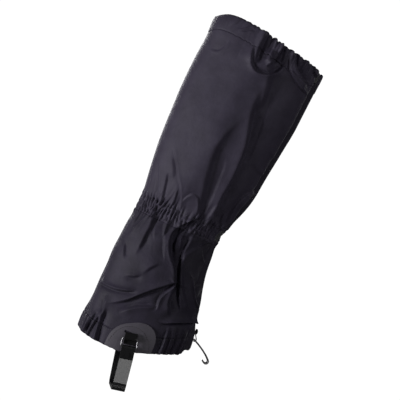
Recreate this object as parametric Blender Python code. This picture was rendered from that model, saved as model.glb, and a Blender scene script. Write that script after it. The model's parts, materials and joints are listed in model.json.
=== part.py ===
"""Knee-high hiking gaiter: a two-panel fabric sleeve with gathered ankle and hems, a front hook-and-loop
closure, half-moon side patches, an instep strap with ring and pin buckle, and a lace hook.

Frame: +X to the toes, +Y to the wearer's left, +Z up the leg. The origin is the middle of the boot opening
at the level of the heel hem. Metres.
"""

import math

import bmesh
import bpy
from mathutils import Matrix, Vector

MM = 0.001

# ---------------------------------------------------------------- driving dimensions
# Sleeve stations: height, back contour, front contour, half width across the leg
STATIONS = (
    (-10 * MM, -70 * MM, 72 * MM, 42 * MM),
    (30 * MM, -71 * MM, 75 * MM, 43 * MM),
    (90 * MM, -70 * MM, 66 * MM, 42 * MM),
    (150 * MM, -69 * MM, 54 * MM, 37 * MM),
    (190 * MM, -65 * MM, 53 * MM, 34 * MM),
    (235 * MM, -71 * MM, 67 * MM, 40 * MM),
    (300 * MM, -77 * MM, 78 * MM, 46 * MM),
    (390 * MM, -77 * MM, 84 * MM, 46 * MM),
    (470 * MM, -75 * MM, 85 * MM, 42 * MM),
)
ANKLE_Z = 190 * MM
RIM_BACK_Z = 458 * MM
RIM_DROP = 18 * MM
HEM_FRONT_RISE = 30 * MM
CASING_HEIGHT = 24 * MM

FABRIC = 1.5 * MM
GAP = 0.3 * MM
COLUMN_ARC = math.radians(8)

# Front closure: the flap is the front edge of the wearer's right panel and laps over the placket
FLAP_BASE_X_HEM = 31 * MM
FLAP_BASE_X_RIM = 14 * MM
FLAP_AXIS_Y = -47.5 * MM
FLAP_FREE_EDGE = math.radians(-25)
LEFT_PANEL_EDGE = math.radians(-6)
PLACKET_DEPTH = 4.6 * MM
TAPE_WIDTH_ANGLE = math.radians(18)
TAPE = 0.9 * MM
SEAM_TAPE_WIDTH = 16 * MM

ELASTIC = 1.6 * MM
ELASTIC_WIDTH = 10 * MM

# Side patches and instep strap
SIDE_X = -7 * MM
PATCH_X = -3 * MM
PATCH_HALF_WIDTH = 30 * MM
PATCH_HEIGHT = 41 * MM
PATCH_END_HEIGHT = 9 * MM
PATCH = 1.5 * MM
PATCH_Y = 45.0 * MM
SLOT_Z = 28 * MM
SLOT_SIZE = (18.8 * MM, 3 * MM)
STRAP_WIDTH = 17.5 * MM
STRAP = 1.6 * MM
STRAP_LEAN = math.radians(12)
STRAP_BOTTOM_Z = -50 * MM
STRAP_SOLE_HALF = 38 * MM
STRAP_BEND_R = 11 * MM
BAR_R = 0.9 * MM
BAR_TOP_Z = 22 * MM
BAR_LOW_Z = 10 * MM
BUCKLE_LOW_Z = 7 * MM
BAR_Y = 49 * MM
FRAME_INNER_WIDTH = 18.6 * MM
TAB = 1.2 * MM
HOLE_R = 1.8 * MM
HOLE_PITCH = 10 * MM
HOLES_PAST_BUCKLE = 2
STRAP_TIP_Z = 52 * MM
RIVET_SHANK_R = 1.2 * MM
RIVET_HEAD_R = 3.2 * MM
RIVET_HEAD = 0.8 * MM
RIVET_Z = 1 * MM
RIVET_LAYERS = 2 * (BAR_R + GAP + STRAP / 2)

# Lace hook
HOOK_WIRE_R = 1.2 * MM
HOOK_HALF_WIDTH = 4.5 * MM
HOOK_ROOT = (76.5 * MM, 51 * MM)
HOOK_LENGTH = 35 * MM
HOOK_DIP = math.radians(-32)
HOOK_CURL_R = 3.2 * MM

COLOURS = {
    "calf_fabric": ((0.045, 0.043, 0.052, 1), 0.55, 0.0),
    "boot_fabric": ((0.044, 0.043, 0.050, 1), 0.60, 0.0),
    "patch": ((0.060, 0.058, 0.066, 1), 0.50, 0.0),
    "strap": ((0.012, 0.012, 0.014, 1), 0.35, 0.0),
    "tape": ((0.020, 0.020, 0.022, 1), 0.90, 0.0),
    "elastic": ((0.030, 0.030, 0.032, 1), 0.80, 0.0),
    "steel": ((0.45, 0.45, 0.46, 1), 0.30, 1.0),
}


# ---------------------------------------------------------------- scene and mesh helpers
def clear_scene():
    for item in list(bpy.data.objects):
        bpy.data.objects.remove(item)


def material(name):
    made = bpy.data.materials.get(name)
    if made:
        return made
    colour, roughness, metallic = COLOURS[name]
    made = bpy.data.materials.new(name)
    made.use_nodes = True
    shader = made.node_tree.nodes["Principled BSDF"]
    shader.inputs["Base Color"].default_value = colour
    shader.inputs["Roughness"].default_value = roughness
    shader.inputs["Metallic"].default_value = metallic
    return made


def add_mesh(name, verts, faces, finish):
    mesh = bpy.data.meshes.new(name)
    mesh.from_pydata([tuple(v) for v in verts], [], faces)
    bm = bmesh.new()
    bm.from_mesh(mesh)
    bmesh.ops.recalc_face_normals(bm, faces=bm.faces)
    bm.to_mesh(mesh)
    bm.free()
    mesh.shade_smooth()
    mesh.set_sharp_from_angle(angle=math.radians(40))
    item = bpy.data.objects.new(name, mesh)
    item.data.materials.append(material(finish))
    bpy.context.scene.collection.objects.link(item)
    return item


def ribbon(name, rows, finish):
    """A closed sheet: rows[i][j] is a pair of points, on its outer and its inner face."""
    count, length = len(rows), len(rows[0])
    verts = [pair[side] for side in (0, 1) for row in rows for pair in row]

    def at(side, i, j):
        return side * count * length + i * length + j

    faces = []
    for i in range(count - 1):
        for j in range(length - 1):
            faces.append((at(0, i, j), at(0, i + 1, j), at(0, i + 1, j + 1), at(0, i, j + 1)))
            faces.append((at(1, i, j), at(1, i, j + 1), at(1, i + 1, j + 1), at(1, i + 1, j)))
    for i in range(count - 1):
        for j in (0, length - 1):
            faces.append((at(0, i, j), at(1, i, j), at(1, i + 1, j), at(0, i + 1, j)))
    for j in range(length - 1):
        for i in (0, count - 1):
            faces.append((at(0, i, j), at(0, i, j + 1), at(1, i, j + 1), at(1, i, j)))
    return add_mesh(name, verts, faces, finish)


def extrude_outline(name, outline, half_width, finish):
    """A plate whose outline of (y, z) points is extruded to both sides along X."""
    count = len(outline)
    verts = [(side * half_width, y, z) for side in (-1, 1) for y, z in outline]
    faces = [tuple(range(count)), tuple(range(2 * count - 1, count - 1, -1))]
    faces += [(k, (k + 1) % count, count + (k + 1) % count, count + k) for k in range(count)]
    return add_mesh(name, verts, faces, finish)


def wire(name, points, radius, finish, sides=8):
    """A closed loop of round wire through the points."""
    count = len(points)
    verts = []
    for k, point in enumerate(points):
        before = (point - points[k - 1]).normalized()
        after = (points[(k + 1) % count] - point).normalized()
        along = (before + after).normalized()
        stretch = 1 / max(0.5, before.dot(along))
        side = (after - before)
        side = side - along * side.dot(along)
        side = side.normalized() if side.length > 1e-6 else along.orthogonal().normalized()
        other = along.cross(side)
        verts.append((point, side, other, stretch))
    rings = []
    reference = verts[0][1]
    for point, side, other, stretch in verts:
        along = side.cross(other)
        reference = (reference - along * reference.dot(along)).normalized()
        third = along.cross(reference)
        ring = []
        for s in range(sides):
            angle = 2 * math.pi * (s + 0.5) / sides
            spoke = reference * math.cos(angle) + third * math.sin(angle)
            ring.append(point + spoke * radius + side * (spoke.dot(side) * radius * (stretch - 1)))
        rings.append(ring)
    shift = min(range(sides), key=lambda s: (rings[-1][s] - rings[0][0]).length)
    flat = [v for ring in rings for v in ring]
    faces = []
    for k in range(count):
        turn = shift if k == count - 1 else 0
        for s in range(sides):
            here = (k * sides + (s + turn) % sides, k * sides + (s + 1 + turn) % sides)
            there = ((k + 1) % count * sides + s, (k + 1) % count * sides + (s + 1) % sides)
            faces.append((here[0], here[1], there[1], there[0]))
    return add_mesh(name, flat, faces, finish)


def cylinder(name, centre, radius, length, axis, finish, sides=20):
    bm = bmesh.new()
    bmesh.ops.create_cone(bm, cap_ends=True, segments=sides, radius1=radius, radius2=radius, depth=length)
    turn = Vector((0, 0, 1)).rotation_difference(Vector(axis)).to_matrix().to_4x4()
    bmesh.ops.transform(bm, matrix=Matrix.Translation(centre) @ turn, verts=bm.verts)
    mesh = bpy.data.meshes.new(name)
    bm.to_mesh(mesh)
    bm.free()
    item = bpy.data.objects.new(name, mesh)
    item.data.materials.append(material(finish))
    bpy.context.scene.collection.objects.link(item)
    return item


def block(name, centre, size, finish="steel"):
    bm = bmesh.new()
    bmesh.ops.create_cube(bm, size=1)
    bmesh.ops.transform(bm, matrix=Matrix.Translation(centre) @ Matrix.Diagonal((*size, 1)), verts=bm.verts)
    mesh = bpy.data.meshes.new(name)
    bm.to_mesh(mesh)
    bm.free()
    item = bpy.data.objects.new(name, mesh)
    item.data.materials.append(material(finish))
    bpy.context.scene.collection.objects.link(item)
    return item


def combine(item, other, operation):
    """Cuts other out of item, or joins it on, and removes other."""
    step = item.modifiers.new(operation, "BOOLEAN")
    step.operation = operation
    step.object = other
    bpy.context.view_layer.update()
    depsgraph = bpy.context.evaluated_depsgraph_get()
    mesh = bpy.data.meshes.new_from_object(item.evaluated_get(depsgraph))
    item.modifiers.clear()
    item.data = mesh
    bpy.data.objects.remove(other)
    return item


# ---------------------------------------------------------------- sleeve surface
def stations_at(z):
    """Back contour, front contour and half width at a height, on a smooth curve through the stations."""
    z = min(max(z, STATIONS[0][0]), STATIONS[-1][0])
    k = max(i for i in range(len(STATIONS) - 1) if STATIONS[i][0] <= z)
    low, high = STATIONS[k], STATIONS[k + 1]
    before, after = STATIONS[max(k - 1, 0)], STATIONS[min(k + 2, len(STATIONS) - 1)]
    span = high[0] - low[0]
    t = (z - low[0]) / span
    values = []
    for c in (1, 2, 3):
        slope_low = (high[c] - before[c]) / (high[0] - before[0]) * span
        slope_high = (after[c] - low[c]) / (after[0] - low[0]) * span
        values.append(
            (2 * t**3 - 3 * t**2 + 1) * low[c]
            + (t**3 - 2 * t**2 + t) * slope_low
            + (3 * t**2 - 2 * t**3) * high[c]
            + (t**3 - t**2) * slope_high
        )
    return values


def section(z):
    """Centre x and the two half axes of the sleeve's oval at a height."""
    back, front, half_width = stations_at(z)
    return (front + back) / 2, (front - back) / 2, half_width


def on_sleeve(angle, z, outset):
    """A point at an angle from the toes, towards +Y, at a distance out from the sleeve's outer face."""
    centre, half_length, half_width = section(z)
    return Vector((
        centre + (half_length + outset) * math.cos(angle),
        (half_width + outset) * math.sin(angle),
        z,
    ))


def hem_z(angle):
    return HEM_FRONT_RISE * max(0.0, (math.cos(angle) + 0.2) / 1.2)


def rim_z(angle):
    return RIM_BACK_Z - RIM_DROP * max(0.0, (math.cos(angle) + 0.35) / 1.35)


def flap_base_angle(z):
    """The straight line on the wearer's right side about which the flap peels back."""
    centre, half_length, _ = section(z)
    x = FLAP_BASE_X_HEM + (FLAP_BASE_X_RIM - FLAP_BASE_X_HEM) * z / RIM_BACK_Z
    return -math.acos((x - centre) / half_length)


def seam(angle, shift=0.0):
    """An edge at one angle, moved by a distance along the sleeve."""
    return lambda z: angle + shift / section(z)[1]


def flap_line(shift):
    return lambda z: flap_base_angle(z) + shift / section(z)[2]


def sleeve_ribbon(name, finish, start, end, path, columns=None):
    """A sheet round the sleeve from edge start to edge end, whose upright profile is path(angle): pairs of
    (outset, z) on the outer and the inner face."""
    arc = abs(end(ANKLE_Z) - start(ANKLE_Z))
    columns = columns or max(3, round(arc / COLUMN_ARC))
    rows = []
    for i in range(columns + 1):
        share = i / columns
        middle = start(ANKLE_Z) + (end(ANKLE_Z) - start(ANKLE_Z)) * share
        row = []
        for outer, inner in path(middle):
            pair = []
            for outset, z in (outer, inner):
                angle = start(z) + (end(z) - start(z)) * share
                pair.append(on_sleeve(angle, z, outset))
            row.append(pair)
        rows.append(row)
    return ribbon(name, rows, finish)


def sheet_path(low, high, rows, outset, thickness):
    """An upright profile between two edges, each a function of the angle; outset may be one as well."""
    def path(angle):
        z0, z1 = low(angle), high(angle)
        out = outset(angle) if callable(outset) else outset
        return [
            ((out, z0 + (z1 - z0) * k / rows), (out - thickness, z0 + (z1 - z0) * k / rows))
            for k in range(rows + 1)
        ]
    return path


def casing_path(edge, direction, height, outset=0.0):
    """A folded hem: two layers joined by a round fold at the edge, open at the other side for the elastic."""
    depth = 5.2 * MM
    wall = 1.2 * MM

    def path(angle):
        z = edge(angle)

        def at(out, rise):
            return (outset + out, z - direction * rise)

        mid, inner_r = -depth / 2, depth / 2 - wall
        pairs = [(at(0, height), at(-wall, height)), (at(0, height / 2), at(-wall, height / 2))]
        for k in range(5):
            turn = math.pi * k / 4
            outer = at(mid + depth / 2 * math.cos(turn), depth / 2 - depth / 2 * math.sin(turn))
            inner = at(mid + inner_r * math.cos(turn), depth / 2 - inner_r * math.sin(turn))
            pairs.append((outer, inner))
        pairs.append((at(-depth, height / 2), at(wall - depth, height / 2)))
        pairs.append((at(-depth, height), at(wall - depth, height)))
        return pairs
    return path


# ---------------------------------------------------------------- sleeve parts
def build_panels():
    back = math.pi
    right = (seam(-back, GAP / 2), flap_line(-GAP / 2))
    left = (seam(back, -GAP / 2), seam(LEFT_PANEL_EDGE, GAP / 2))
    calf = sheet_path(
        lambda a: ANKLE_Z + GAP / 2, lambda a: rim_z(a) - CASING_HEIGHT - GAP, 9, 0.0, FABRIC
    )
    boot = sheet_path(
        lambda a: hem_z(a) + CASING_HEIGHT + GAP, lambda a: ANKLE_Z - GAP / 2, 7, 0.0, FABRIC
    )
    for side, edges in (("right", right), ("left", left)):
        sleeve_ribbon(f"calf_{side}_panel", "calf_fabric", *edges, calf)
        sleeve_ribbon(f"boot_{side}_panel", "boot_fabric", *edges, boot)
        sleeve_ribbon(f"top_casing_{side}", "calf_fabric", *edges, casing_path(rim_z, 1, CASING_HEIGHT))
        sleeve_ribbon(f"hem_casing_{side}", "boot_fabric", *edges, casing_path(hem_z, -1, CASING_HEIGHT))


def build_closure():
    """The placket and its loop tape, and the flap's own pieces, which it returns."""
    def placket_outset(angle):
        t = min(max((LEFT_PANEL_EDGE - angle) / math.radians(14), 0), 1)
        return -PLACKET_DEPTH * t * t * (3 - 2 * t)

    def low(angle):
        return hem_z(angle) + 1 * MM

    def high(angle):
        return rim_z(angle) - 1 * MM

    sleeve_ribbon(
        "front_placket", "calf_fabric", seam(LEFT_PANEL_EDGE, -GAP / 2), flap_line(6 * MM),
        sheet_path(low, high, 16, placket_outset, FABRIC), columns=8,
    )
    flap = sleeve_ribbon(
        "front_flap", "calf_fabric", flap_line(GAP / 2), seam(FLAP_FREE_EDGE),
        sheet_path(hem_z, rim_z, 16, 0.0, FABRIC), columns=6,
    )
    inner_edge = seam(FLAP_FREE_EDGE - TAPE_WIDTH_ANGLE)
    outer_edge = seam(FLAP_FREE_EDGE, -3 * MM)
    hook_outset = -FABRIC - 1.5 * GAP
    loop_outset = -PLACKET_DEPTH + GAP + TAPE

    def tape(name, outset):
        return sleeve_ribbon(
            name, "tape", inner_edge, outer_edge,
            sheet_path(lambda a: low(a) + 3 * MM, lambda a: high(a) - 3 * MM, 16, outset, TAPE), columns=4,
        )

    tape("loop_tape", loop_outset)

    def flap_elastic(name, z_low, thickness=1.2 * MM):
        return sleeve_ribbon(
            name, "elastic", flap_line(3 * MM), seam(FLAP_FREE_EDGE - TAPE_WIDTH_ANGLE, -1 * MM),
            sheet_path(z_low, lambda a: z_low(a) + ELASTIC_WIDTH, 2, -FABRIC - 2 * GAP, thickness), columns=3,
        )

    return [
        flap,
        tape("hook_tape", hook_outset),
        flap_elastic("flap_ankle_elastic", lambda a: ANKLE_Z - ELASTIC_WIDTH / 2),
        flap_elastic("flap_hem_elastic", lambda a: hem_z(a) + 4 * MM),
    ]


def build_elastics():
    """Flat elastics inside the rim, ankle and hem; the hem's stop short of the side patches."""
    back = math.pi
    patch_half = math.radians(27)
    cavity = -1.2 * MM - GAP

    def band(name, start, end, low, high, outset=cavity, thickness=ELASTIC, finish="elastic", rows=1):
        sleeve_ribbon(name, finish, start, end, sheet_path(low, high, rows, outset, thickness))

    def rim_low(angle):
        return rim_z(angle) - 4 * MM - ELASTIC_WIDTH

    band("top_elastic", flap_around(-2 * MM), seam(LEFT_PANEL_EDGE + math.radians(2)),
         rim_low, lambda a: rim_low(a) + ELASTIC_WIDTH)
    ankle_low, ankle_high = (lambda a: ANKLE_Z - 8 * MM), (lambda a: ANKLE_Z + 8 * MM)
    band("ankle_elastic", flap_around(-2 * MM), seam(LEFT_PANEL_EDGE + math.radians(2)),
         ankle_low, ankle_high, outset=-FABRIC - GAP, rows=4)
    band("ankle_casing", flap_around(-2 * MM), seam(LEFT_PANEL_EDGE + math.radians(2)),
         lambda a: ankle_low(a) - 4 * MM, lambda a: ankle_high(a) + 4 * MM,
         outset=-FABRIC - 2 * GAP - ELASTIC, thickness=1.0 * MM, finish="calf_fabric", rows=6)

    def hem_low(angle):
        return hem_z(angle) + 4 * MM

    def hem_high(angle):
        return hem_low(angle) + ELASTIC_WIDTH

    side = math.pi / 2
    band("hem_elastic_back", seam(side + patch_half), seam(2 * back - side - patch_half), hem_low, hem_high)
    band("hem_elastic_front_left", seam(LEFT_PANEL_EDGE + math.radians(2)), seam(side - patch_half),
         hem_low, hem_high)


def flap_around(shift):
    """The flap's base line, reached the long way round the back from the left side."""
    return lambda z: 2 * math.pi + flap_base_angle(z) + shift / section(z)[2]


def build_seam_tape():
    """The tape that covers the back seam on the inside, above and below the ankle casing."""
    half = SEAM_TAPE_WIDTH / 2
    inner = -FABRIC - 2.5 * GAP
    back = math.pi

    def tape(name, low, high, rows):
        sleeve_ribbon(name, "tape", seam(back, -half), seam(back, half),
                      sheet_path(low, high, rows, inner, 0.8 * MM), columns=3)

    tape("calf_seam_tape", lambda a: ANKLE_Z + 12 * MM, lambda a: rim_z(a) - CASING_HEIGHT, 8)
    tape("boot_seam_tape", lambda a: hem_z(a) + CASING_HEIGHT, lambda a: ANKLE_Z - 12 * MM, 6)


def build_patches():
    """Half-moon patches on both sides, each with a slot that its strap tab comes out of."""
    columns, rows = 16, 4
    for side, name in ((-1, "right_patch"), (1, "left_patch")):
        grid = []
        for i in range(columns + 1):
            along = -math.cos(math.pi * i / columns)
            x = PATCH_X + PATCH_HALF_WIDTH * along
            height = PATCH_END_HEIGHT + (PATCH_HEIGHT - PATCH_END_HEIGHT) * math.sqrt(max(0, 1 - along**2))
            row = []
            for j in range(rows + 1):
                centre, half_length, _ = section(0)
                foot = hem_z(math.acos((x - centre) / half_length)) + 1 * MM
                z = foot + height * j / rows
                centre, half_length, half_width = section(z)
                sine = math.sqrt(1 - ((x - centre) / half_length) ** 2)
                low_y = (half_width + 2 * GAP) * sine
                row.append((Vector((x, side * (low_y + PATCH), z)), Vector((x, side * low_y, z))))
            grid.append(row)
        patch = ribbon(name, grid, "patch")
        slot = block("slot", (SIDE_X, side * PATCH_Y, SLOT_Z), (SLOT_SIZE[0], 8 * MM, SLOT_SIZE[1]))
        combine(patch, slot, "DIFFERENCE")


# ---------------------------------------------------------------- instep strap
def outline_of(path, thickness):
    """The closed (y, z) outline of a strip of even thickness along a path."""
    points = [Vector(p) for p in path]
    normals = [Vector((a.y - b.y, b.x - a.x)).normalized() for a, b in zip(points, points[1:])]
    left, right = [], []
    for point, before, after in zip(points, normals[:1] + normals, normals + normals[-1:]):
        mitre = (before + after) / (1 + before.dot(after)) * thickness / 2
        left.append(tuple(point + mitre))
        right.append(tuple(point - mitre))
    return left + right[::-1]


def arc(centre, radius, start, end, steps):
    """Points on an arc in the (y, z) plane, between two angles in degrees."""
    return [
        (
            centre[0] + radius * math.cos(math.radians(start + (end - start) * k / steps)),
            centre[1] + radius * math.sin(math.radians(start + (end - start) * k / steps)),
        )
        for k in range(steps + 1)
    ]


def strap_path():
    """From the end folded inside the ring's low bar, down, under the sole, up behind the buckle's low bar,
    over its top bar, to the tip."""
    wrap_r = BAR_R + GAP + STRAP / 2
    bottom = STRAP_BOTTOM_Z + STRAP / 2
    bend_z = bottom + STRAP_BEND_R
    ring = (-BAR_Y, BAR_LOW_Z)
    path = [(-BAR_Y + wrap_r, BAR_LOW_Z - 16 * MM), (-BAR_Y + wrap_r, BAR_LOW_Z - 6 * MM)]
    path += arc(ring, wrap_r, 0, 180, 6)
    path += [(-BAR_Y - wrap_r, BAR_LOW_Z - 15 * MM)]
    path += arc((-STRAP_SOLE_HALF + STRAP_BEND_R, bend_z), STRAP_BEND_R, 180, 270, 5)
    path += arc((STRAP_SOLE_HALF - STRAP_BEND_R, bend_z), STRAP_BEND_R, -90, 0, 5)
    behind = BAR_Y - BAR_R - GAP - 0.2 * MM - STRAP / 2
    over = BAR_Y + BAR_R + GAP + TAB + 0.4 * MM + STRAP / 2
    path += [(behind - 1.4 * MM, BUCKLE_LOW_Z - 14 * MM), (behind, BUCKLE_LOW_Z - 3 * MM),
             (behind + 0.3 * MM, BUCKLE_LOW_Z + 1 * MM), (over - 0.9 * MM, BAR_TOP_Z - 4 * MM),
             (over, BAR_TOP_Z), (over - 0.4 * MM, BAR_TOP_Z + 12 * MM), (over - 1.6 * MM, STRAP_TIP_Z)]
    return path


def build_strap():
    strap = extrude_outline("instep_strap", outline_of(strap_path(), STRAP), STRAP_WIDTH / 2, "strap")
    prong_slot_z = (BUCKLE_LOW_Z + BAR_TOP_Z) / 2

    def punch(y, z):
        combine(strap, cylinder("hole", (0, y, z), HOLE_R, 14 * MM, (0, 1, 0), "strap", 12), "DIFFERENCE")

    for k in range(HOLES_PAST_BUCKLE):
        punch(BAR_Y, prong_slot_z + (2 + k) * HOLE_PITCH)
    punch(BAR_Y, prong_slot_z - 2 * HOLE_PITCH)
    punch(-BAR_Y, RIVET_Z)
    combine(strap, block("slot", (0, BAR_Y, prong_slot_z), (2 * HOLE_R, 14 * MM, 10.5 * MM)), "DIFFERENCE")
    for side in (-1, 1):
        corner = block("corner", (0, 0, 0), (8 * MM, 14 * MM, 8 * MM))
        place = Matrix.Translation((side * STRAP_WIDTH / 2, BAR_Y + 2 * MM, STRAP_TIP_Z))
        corner.data.transform(place @ Matrix.Rotation(math.radians(45), 4, "Y"))
        combine(strap, corner, "DIFFERENCE")
    return strap


def build_strap_rivet():
    """A two-headed rivet through the strap's folded end, under the ring."""
    reach = RIVET_LAYERS / 2 + STRAP / 2 + GAP
    rivet = cylinder("strap_rivet", (0, -BAR_Y, RIVET_Z), RIVET_SHANK_R, 2 * reach + RIVET_HEAD, (0, 1, 0), "steel")
    for side in (-1, 1):
        y = -BAR_Y + side * (reach + RIVET_HEAD / 2)
        combine(rivet, cylinder("head", (0, y, RIVET_Z), RIVET_HEAD_R, RIVET_HEAD, (0, 1, 0), "steel"), "UNION")
    return rivet


def frame_loop(side, low_z):
    """Corner-rounded rectangle of wire round the strap, in the plane of the patch."""
    half = FRAME_INNER_WIDTH / 2 + BAR_R
    corner = 2.2 * MM
    points = []
    for sx, z, start in ((1, BAR_TOP_Z, 0), (-1, BAR_TOP_Z, 90), (-1, low_z, 180), (1, low_z, 270)):
        cx = sx * (half - corner)
        cz = z - corner if z == BAR_TOP_Z else z + corner
        for k in range(4):
            turn = math.radians(start + 30 * k)
            points.append(Vector((cx + corner * math.cos(turn), side * BAR_Y, cz + corner * math.sin(turn))))
    return points


def tab_outline(side):
    """A strip from the patch slot, round the top bar and back to the slot."""
    wrap_r = BAR_R + GAP + TAB / 2
    root_y = PATCH_Y + GAP
    path = [(root_y + TAB * 0.7, SLOT_Z + 1.2 * MM), (root_y + TAB * 0.9, SLOT_Z - 2.2 * MM)]
    path += arc((BAR_Y, BAR_TOP_Z), wrap_r, 180, 360, 6)
    path += [(BAR_Y + 0.4 * MM, SLOT_Z - 0.6 * MM), (root_y + TAB * 2.0, SLOT_Z + 1.2 * MM)]
    return [(side * y, z) for y, z in outline_of(path, TAB)]


def build_strap_hardware():
    ring = wire("strap_ring", frame_loop(-1, BAR_LOW_Z), BAR_R, "steel")
    frame = wire("buckle_frame", frame_loop(1, BUCKLE_LOW_Z), BAR_R, "steel")
    tab_half = FRAME_INNER_WIDTH / 2 - 1.6 * MM
    ring_tab = extrude_outline("ring_tab", tab_outline(-1), tab_half, "strap")
    tail_low, tail_high = BAR_LOW_Z + 4 * MM, SLOT_Z - 1.6 * MM
    tail = block("tail", (0, -PATCH_Y - GAP - TAB / 2, (tail_low + tail_high) / 2),
                 (2 * tab_half, TAB, tail_high - tail_low))
    combine(ring_tab, tail, "UNION")
    buckle_tab = extrude_outline("buckle_tab", tab_outline(1), tab_half, "strap")
    notch = block("notch", (0, BAR_Y, BAR_TOP_Z - 1 * MM), (4.4 * MM, 12 * MM, 8 * MM))
    return [ring, frame, ring_tab, combine(buckle_tab, notch, "DIFFERENCE")]


def build_prong():
    """A flat pin hung on the buckle's top bar, through the strap, resting on the low bar."""
    half = 1.1 * MM
    eye_r = BAR_R + 1.3 * MM
    eye = cylinder("buckle_prong", (0, BAR_Y, BAR_TOP_Z), eye_r, 2 * half, (1, 0, 0), "steel", 16)
    rest_y = BAR_Y + BAR_R + GAP + 0.9 * MM
    path = [(BAR_Y + 0.3 * MM, BAR_TOP_Z - 1.9 * MM), (BAR_Y + 0.9 * MM, BAR_TOP_Z - 8 * MM),
            (rest_y, BUCKLE_LOW_Z + 1 * MM), (rest_y, BUCKLE_LOW_Z - 1.4 * MM)]
    arm = extrude_outline("arm", outline_of(path, 1.6 * MM), half, "steel")
    combine(eye, arm, "UNION")
    bore = cylinder("bore", (0, BAR_Y, BAR_TOP_Z), BAR_R + 0.25 * MM, 10 * MM, (1, 0, 0), "steel", 16)
    return combine(eye, bore, "DIFFERENCE")


# ---------------------------------------------------------------- lace hook
def hook_line():
    """(x, z) points down the hook's side view, from its root bar to the end of its curl."""
    root = Vector(HOOK_ROOT)
    along = Vector((math.cos(HOOK_DIP), math.sin(HOOK_DIP)))
    inward = Vector((along.y, -along.x))
    line = [root + along * HOOK_LENGTH * t + inward * 1.4 * MM * math.sin(math.pi * t) * -1
            for t in (0, 0.25, 0.5, 0.75)]
    centre = root + along * (HOOK_LENGTH - HOOK_CURL_R) + inward * HOOK_CURL_R
    for k in range(6):
        turn = math.radians(-90 + 36 * k)
        line.append(centre + along * HOOK_CURL_R * math.cos(turn) + inward * HOOK_CURL_R * math.sin(turn))
    line.append(line[-1] - along * 3 * MM)
    return line


def build_lace_hook():
    line = hook_line()
    loop = [Vector((p.x, -HOOK_HALF_WIDTH, p.y)) for p in line]
    loop += [Vector((p.x, HOOK_HALF_WIDTH, p.y)) for p in reversed(line)]
    return wire("lace_hook", loop, HOOK_WIRE_R, "steel")


def build_hook_tab():
    """A folded tab on the front hem that holds the hook's root bar, with its rivet."""
    root = Vector(HOOK_ROOT)
    wrap_r = HOOK_WIRE_R + 1.5 * GAP + 0.5 * MM
    front = section(HOOK_ROOT[1])[0] + section(HOOK_ROOT[1])[1]
    inner_x = front + 0.8 * MM
    path = [(inner_x, root.y + 14 * MM), (inner_x, root.y + 4 * MM)]
    path += [(root.x + wrap_r * math.cos(math.radians(a)), root.y + wrap_r * math.sin(math.radians(a)))
             for a in range(180, 361, 30)]
    path += [(root.x + wrap_r, root.y + 1.5 * MM), (inner_x + 1.6 * MM, root.y + 7 * MM),
             (inner_x + 1.4 * MM, root.y + 14 * MM)]
    outline = outline_of(path, 1.0 * MM)
    half = HOOK_HALF_WIDTH - HOOK_WIRE_R - 0.5 * MM
    verts = [(x, side * half, z) for side in (-1, 1) for x, z in outline]
    count = len(outline)
    faces = [tuple(range(count)), tuple(range(2 * count - 1, count - 1, -1))]
    faces += [(k, (k + 1) % count, count + (k + 1) % count, count + k) for k in range(count)]
    tab = add_mesh("hook_tab", verts, faces, "strap")
    centre = Vector((inner_x + 0.5 * MM, 0, root.y + 10 * MM))
    hole = cylinder("hole", centre, 1.0 * MM, 12 * MM, (1, 0, 0), "steel", 12)
    combine(tab, hole, "DIFFERENCE")
    head = cylinder("hook_rivet", centre + Vector((2.1 * MM, 0, 0)), 2.4 * MM, 0.8 * MM, (1, 0, 0), "steel", 16)
    shank = cylinder("shank", centre + Vector((0.6 * MM, 0, 0)), 0.7 * MM, 2.6 * MM, (1, 0, 0), "steel", 12)
    combine(head, shank, "UNION")


# ---------------------------------------------------------------- joints
def pivot(name, location, lean=0.0, parent=None):
    """An empty on a joint's axis."""
    empty = bpy.data.objects.new(name, None)
    empty.location = location
    empty.rotation_euler = (0, -lean, 0)
    empty.parent = parent
    bpy.context.scene.collection.objects.link(empty)
    return empty


def hang(pieces, empty, built_about):
    """Parents pieces to the empty, which takes the place of the point that they were built about."""
    for piece in pieces:
        piece.parent = empty
        piece.location = -Vector(built_about)


def main():
    clear_scene()
    build_panels()
    flap_pieces = build_closure()
    build_elastics()
    build_seam_tape()
    build_patches()
    build_hook_tab()

    flap_foot = (FLAP_BASE_X_HEM, FLAP_AXIS_Y, 0)
    hang(flap_pieces, pivot("flap_pivot", flap_foot), flap_foot)

    strap_pivot = pivot("strap_pivot", (SIDE_X, 0, SLOT_Z), STRAP_LEAN)
    strap_pieces = [build_strap(), build_strap_rivet(), *build_strap_hardware()]
    hang(strap_pieces, strap_pivot, (0, 0, SLOT_Z))

    top_bar = Vector((0, BAR_Y, BAR_TOP_Z))
    prong_pivot = pivot("prong_pivot", top_bar - Vector((0, 0, SLOT_Z)), parent=strap_pivot)
    hang([build_prong()], prong_pivot, top_bar)

    hook_root = (HOOK_ROOT[0], 0, HOOK_ROOT[1])
    hang([build_lace_hook()], pivot("hook_pivot", hook_root), hook_root)


main()
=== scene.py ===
import json
import math

import bmesh
import bpy
import numpy as np
from mathutils import Matrix, Vector
from mathutils.bvhtree import BVHTree


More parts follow.
